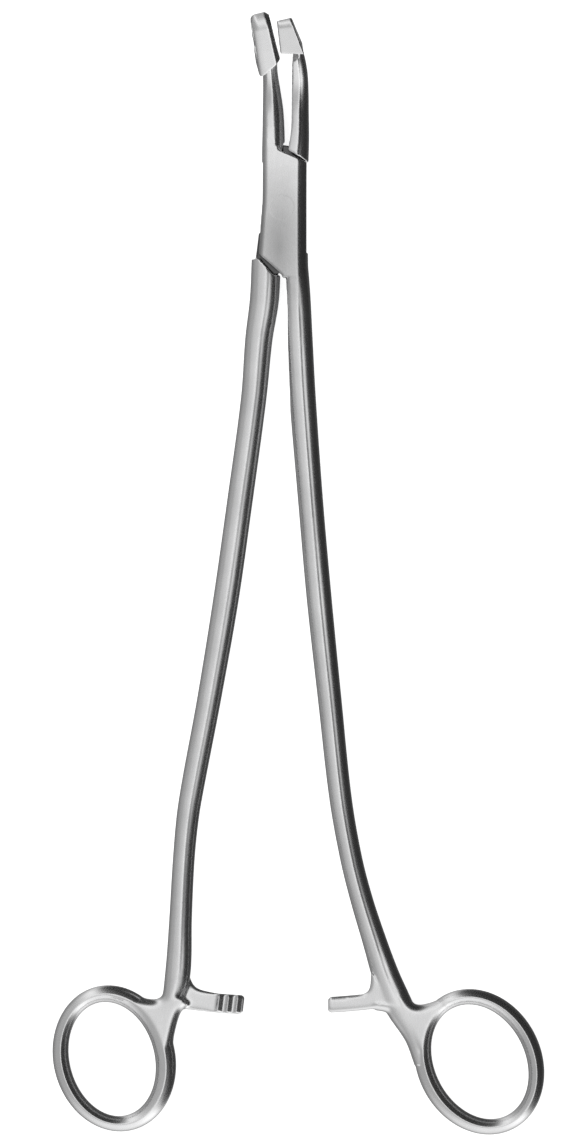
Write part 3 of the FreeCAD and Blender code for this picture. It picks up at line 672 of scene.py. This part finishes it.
def relaxed(mesh, weights, passes):
    """Moves each point towards the middle of its neighbours, by its weight, a number of times."""
    count = len(mesh.vertices)
    points = np.empty(3 * count)
    mesh.vertices.foreach_get("co", points)
    points = points.reshape(count, 3)
    edges = np.empty(2 * len(mesh.edges), int)
    mesh.edges.foreach_get("vertices", edges)
    first, second = edges.reshape(-1, 2).T
    shares = np.bincount(first, minlength=count) + np.bincount(second, minlength=count)
    for _ in range(passes):
        for axis in range(3):
            values = points[:, axis]
            total = np.bincount(first, values[second], count) + np.bincount(second, values[first], count)
            points[:, axis] = values + weights * (total / shares - values)
    mesh.vertices.foreach_set("co", points.ravel())
    mesh.update()


def polished(made, soft_zones):
    """Remeshes overlapping solids to one skin and rounds its edges, most of all in the soft zones."""
    remesh = made.modifiers.new("skin", "REMESH")
    remesh.mode = "VOXEL"
    remesh.voxel_size = VOXEL * MM
    remesh.adaptivity = 0.0
    applied(made)
    mesh = made.data
    points = np.empty(3 * len(mesh.vertices))
    mesh.vertices.foreach_get("co", points)
    points = points.reshape(-1, 3) / MM
    relaxed(mesh, np.full(len(points), POLISH_WEIGHT), POLISH_PASSES)
    for centre, radius, passes in soft_zones:
        away = np.linalg.norm(points - np.array(centre), axis=1) / radius
        relaxed(mesh, POLISH_WEIGHT * np.clip(SOFT_EDGE * (1 - away), 0, 1), passes)
    mesh.shade_smooth()
    return made


def basket_half(steel):
    """The half with the box lock, the right ring and the basket."""
    tooth_face = MIDDLE + TOOTH_GAP / 2 + TOOTH_HEIGHT
    block = box_block()
    body = shank(BASKET_SHANK, BASKET_FLANKS, flush=True)
    bar = arm(BASKET_ARM, BASKET_ARM_FLANKS, flush=True)
    ground = punch_ground()
    room = [punch_shank_room()]
    passage = slot()
    recesses = [cylinder([(bottom, PIN_RECESS_RADIUS), (top, PIN_RECESS_RADIUS)])
                for bottom, top in ((-1, PIN_PROUD), (BOX_THICKNESS - PIN_PROUD, BOX_THICKNESS + 1))]
    cut(block, ground + passage + room + recesses)
    cut(body, ground + passage + room)
    cut(bar, passage)
    jaw = basket_block()
    pockets = basket_pocket()
    cut(jaw, pockets)
    cut(bar, pockets)
    removed(ground + passage + room + recesses + pockets)
    parts = [block, body, bar, jaw] + ring(BASKET_RING)
    parts += ratchet(BASKET_RATCHET_TIP, -1, BASKET_RATCHET_WIDTH, tooth_face, -1)
    parts += [ring_blend(BASKET_RING, points) for points in BASKET_RING_BLENDS]
    parts += [ratchet_blend(BASKET_RATCHET_BLEND, tooth_face)]
    made = polished(joined("basket_half_steel", parts), BASKET_SOFT_ZONES)
    made.data.materials.append(steel)
    return made


def punch_half(steel, tongue_shade_steel):
    """The half with the tongue, the left ring and the punch, turned open to the rest pose."""
    tooth_face = MIDDLE - TOOTH_GAP / 2 - TOOTH_HEIGHT
    body = shank(PUNCH_SHANK, PUNCH_FLANKS)
    bar = arm(PUNCH_ARM, PUNCH_ARM_FLANKS)
    ground = [box_ground(-EDGE_CLEARANCE)]
    rooms = [basket_arm_room(), basket_block(EDGE_CLEARANCE)]
    hollow = [punch_block(PUNCH_WALL)]
    jaw = punch_block(0)
    cut(body, ground)
    cut(bar, ground + rooms + hollow)
    cut(jaw, hollow)
    removed(ground + rooms + hollow)
    parts = [body, bar, jaw] + tongue() + ring(PUNCH_RING)
    parts += ratchet(PUNCH_RATCHET_TIP, 1, PUNCH_RATCHET_WIDTH, tooth_face, 1)
    parts += [ring_blend(PUNCH_RING, points) for points in PUNCH_RING_BLENDS]
    parts += [ratchet_blend(PUNCH_RATCHET_BLEND, tooth_face - RATCHET_BAR)]
    made = polished(joined("punch_half_steel", parts), PUNCH_SOFT_ZONES)
    made.data.materials.append(steel)
    made.data.materials.append(tongue_shade_steel)
    # Painted shade: the tongue's flat faces inside the lock get the dark second material, which stands in
    # for the shade in the slot's gaps.
    tongue_half = TONGUE_THICKNESS / 2 + FACE_MARGIN
    for face in made.data.polygons:
        on_tongue = abs(face.center.z / MM - MIDDLE) < tongue_half and abs(face.normal.z) > 0.8
        if on_tongue and abs(face.center.y) / MM < INSIDE_LOCK:
            face.material_index = 1
    made.data.transform(Matrix.Rotation(radians(-REST_OPENING), 4, "Z"))
    return made


def nodes_of(owner):
    """The empty node tree of a material or a world."""
    owner.use_nodes = True
    owner.node_tree.nodes.clear()
    return owner.node_tree


def add(tree, kind, inputs=None, **options):
    """A node with its options set. An input is a value, or a socket of another node to link to it."""
    node = tree.nodes.new(kind)
    for key, value in options.items():
        setattr(node, key, value)
    for key, value in (inputs or {}).items():
        if isinstance(value, bpy.types.NodeSocket):
            tree.links.new(value, node.inputs[key])
        else:
            node.inputs[key].default_value = value
    return node


def ramp(tree, factor, stops):
    """A colour ramp from rows of position and colour."""
    node = add(tree, "ShaderNodeValToRGB", {"Fac": factor})
    elements = node.color_ramp.elements
    while len(elements) < len(stops):
        elements.new(0.5)
    for element, (position, colour) in zip(elements, stops):
        element.position = position
        element.color = (*colour, 1)
    return node.outputs["Color"]


def painted_shade_spot(tree, colour, place, centre, radii):
    """The colour, darker towards the middle of an oval spot: painted shade."""
    spot_map = add(tree, "ShaderNodeMapping", {
        "Vector": place, "Location": [-c / r for c, r in zip(centre, radii)],
        "Scale": [1 / (r * MM) for r in radii]})
    spot = add(tree, "ShaderNodeTexGradient", {"Vector": spot_map.outputs["Vector"]},
               gradient_type="SPHERICAL")
    level = add(tree, "ShaderNodeMapRange", {"Value": spot.outputs["Fac"], "To Min": 1.0,
                                             "To Max": SPOT_LEVEL})
    scaled = add(tree, "ShaderNodeVectorMath", {0: colour, "Scale": level.outputs["Result"]},
                 operation="SCALE")
    return scaled.outputs["Vector"]


def satin_steel(name, tone, grain_turn, spot=None):
    """Matt-brushed stainless steel: fine lengthwise grain, faint cloudiness, and a spot of painted shade if
    given.
    """
    material = bpy.data.materials.new(name)
    tree = nodes_of(material)
    place = add(tree, "ShaderNodeTexCoord").outputs["Object"]
    grain_map = add(tree, "ShaderNodeMapping", {"Vector": place, "Rotation": (0, 0, radians(grain_turn)),
                                                "Scale": GRAIN_SCALE})
    grain = add(tree, "ShaderNodeTexNoise", {"Vector": grain_map.outputs["Vector"], "Scale": 1.0,
                                             "Detail": 3.0, "Roughness": 0.6}).outputs["Fac"]
    cloud = add(tree, "ShaderNodeTexNoise", {"Vector": place, "Scale": 120.0, "Detail": 4.0,
                                             "Roughness": 0.55}).outputs["Fac"]
    colour = ramp(tree, cloud, [(0.3, (tone * 0.93, tone * 0.93, tone * 0.935)),
                                (0.7, (tone * 1.04, tone * 1.04, tone * 1.045))])
    if spot:
        colour = painted_shade_spot(tree, colour, place, *spot)
    rough = add(tree, "ShaderNodeMapRange", {"Value": grain, "To Min": 0.22, "To Max": 0.32})
    bump = add(tree, "ShaderNodeBump", {"Height": grain, "Strength": 0.12, "Distance": 0.00003})
    shader = add(tree, "ShaderNodeBsdfPrincipled", {"Base Color": colour, "Metallic": 1.0,
                                                    "Roughness": rough.outputs["Result"],
                                                    "Normal": bump.outputs["Normal"]})
    add(tree, "ShaderNodeOutputMaterial", {"Surface": shader.outputs["BSDF"]})
    return material


def paper_floor():
    """White paper under the instrument, which glows a little where the camera sees it."""
    bpy.ops.mesh.primitive_grid_add(x_subdivisions=2, y_subdivisions=2, size=60)
    floor = bpy.context.object
    floor.name = "floor"
    floor.location = (0, 0, -0.0001)
    floor.visible_glossy = False
    material = bpy.data.materials.new("white_paper")
    tree = nodes_of(material)
    path = add(tree, "ShaderNodeLightPath")
    paper = add(tree, "ShaderNodeBsdfDiffuse", {"Color": (0.8, 0.8, 0.8, 1)}).outputs["BSDF"]
    glow = add(tree, "ShaderNodeEmission", {"Color": (1, 1, 1, 1), "Strength": 0.8})
    both = add(tree, "ShaderNodeAddShader", {0: paper, 1: glow.outputs["Emission"]})
    seen = add(tree, "ShaderNodeMixShader", {"Fac": path.outputs["Is Camera Ray"], 1: paper,
                                             2: both.outputs["Shader"]})
    add(tree, "ShaderNodeOutputMaterial", {"Surface": seen.outputs["Shader"]})
    floor.data.materials.append(material)


def studio_world():
    """A studio that is dark to the upper right in reflections, and white where the camera sees it."""
    world = bpy.data.worlds.new("studio")
    bpy.context.scene.world = world
    tree = nodes_of(world)
    path = add(tree, "ShaderNodeLightPath")
    place = add(tree, "ShaderNodeTexCoord").outputs["Generated"]
    side = add(tree, "ShaderNodeVectorMath", {0: place, 1: DARK_SIDE}, operation="DOT_PRODUCT")
    along = add(tree, "ShaderNodeMapRange", {"Value": side.outputs["Value"], "From Min": -1.0,
                                             "From Max": 1.0})
    levels = ramp(tree, along.outputs["Result"], [(position, (level, level, level))
                                                  for position, level in STUDIO_LEVELS])
    parts = add(tree, "ShaderNodeSeparateXYZ", {"Vector": place})
    below = add(tree, "ShaderNodeMapRange", {"Value": parts.outputs["Z"], "From Min": -1.0,
                                             "From Max": 0.0, "To Min": 0.3, "To Max": 1.0})
    sides = add(tree, "ShaderNodeMath", {0: levels, 1: below.outputs["Result"]}, operation="MULTIPLY")
    paper_glow = add(tree, "ShaderNodeMath", {0: parts.outputs["Z"], 1: -0.15}, operation="MULTIPLY")
    brighter = add(tree, "ShaderNodeMath", {0: sides.outputs["Value"], 1: paper_glow.outputs["Value"]},
                   operation="MAXIMUM")
    near_box = add(tree, "ShaderNodeMapRange", {"Value": parts.outputs["Y"], "From Min": -0.5,
                                                "From Max": -0.9, "To Min": 0.0, "To Max": 0.75})
    level = add(tree, "ShaderNodeMath", {0: brighter.outputs["Value"], 1: near_box.outputs["Result"]},
                operation="ADD")
    metal = add(tree, "ShaderNodeBackground", {"Strength": level.outputs["Value"]})
    plain = add(tree, "ShaderNodeBackground", {"Color": (1, 1, 1, 1), "Strength": 0.6})
    white = add(tree, "ShaderNodeBackground", {"Color": (1, 1, 1, 1), "Strength": 1.0})
    first = add(tree, "ShaderNodeMixShader", {"Fac": path.outputs["Is Glossy Ray"],
                                              1: plain.outputs["Background"],
                                              2: metal.outputs["Background"]})
    second = add(tree, "ShaderNodeMixShader", {"Fac": path.outputs["Is Camera Ray"],
                                               1: first.outputs["Shader"],
                                               2: white.outputs["Background"]})
    add(tree, "ShaderNodeOutputWorld", {"Surface": second.outputs["Shader"]})


def soft_lamp():
    """A weak, wide lamp from above that reflections don't show."""
    lamp_data = bpy.data.lights.new("soft_lamp", "AREA")
    lamp_data.size = 0.5
    lamp_data.energy = 2.5
    lamp = bpy.data.objects.new("soft_lamp", lamp_data)
    bpy.context.scene.collection.objects.link(lamp)
    lamp.location = (-0.45, 0.25, 0.8)
    lamp.rotation_euler = (Vector((0, -0.08, 0)) - lamp.location).to_track_quat("-Z", "Y").to_euler()
    lamp.visible_glossy = False


def camera():
    """Straight above the instrument, far enough away to draw it nearly without perspective."""
    frame_height = 0.246
    centre = Vector((0.00129, -0.0783, MIDDLE * MM))
    distance = 1.7
    data = bpy.data.cameras.new("camera")
    data.sensor_width = 36.0
    data.lens = 36.0 * distance / frame_height
    data.clip_end = 100.0
    made = bpy.data.objects.new("camera", data)
    bpy.context.scene.collection.objects.link(made)
    made.location = centre + Vector((0, 0, distance))
    bpy.context.scene.camera = made


bpy.context.scene.view_settings.view_transform = "Standard"
camera()
paper_floor()
studio_world()
soft_lamp()

# Painted shade: the basket half and the pin are darker in an oval spot on the face of the box.
steel_basket = satin_steel("satin_steel", STEEL_TONE, 0, BOX_SHADE_SPOT)
steel_punch = satin_steel("satin_steel_punch", STEEL_TONE, REST_OPENING)
# Painted shade: a near-black steel for the tongue inside the lock, standing in for the shade in the slot's
# gaps.
tongue_shade_steel = satin_steel("tongue_painted_shade", TONGUE_SHADE_TONE, REST_OPENING)
steel_pin = satin_steel("pin_steel", STEEL_TONE, 0, BOX_SHADE_SPOT)

for made, body, node, slot_name in (
        (basket_half(steel_basket), "basket_half_body", "basket_half", "satin_steel"),
        (punch_half(steel_punch, tongue_shade_steel), "punch_half_body", "punch_half", "satin_steel_punch")):
    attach(made, body)
    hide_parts(node)

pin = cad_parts["pivot_pin"]
pin.data.materials.clear()
pin.data.materials.append(steel_pin)
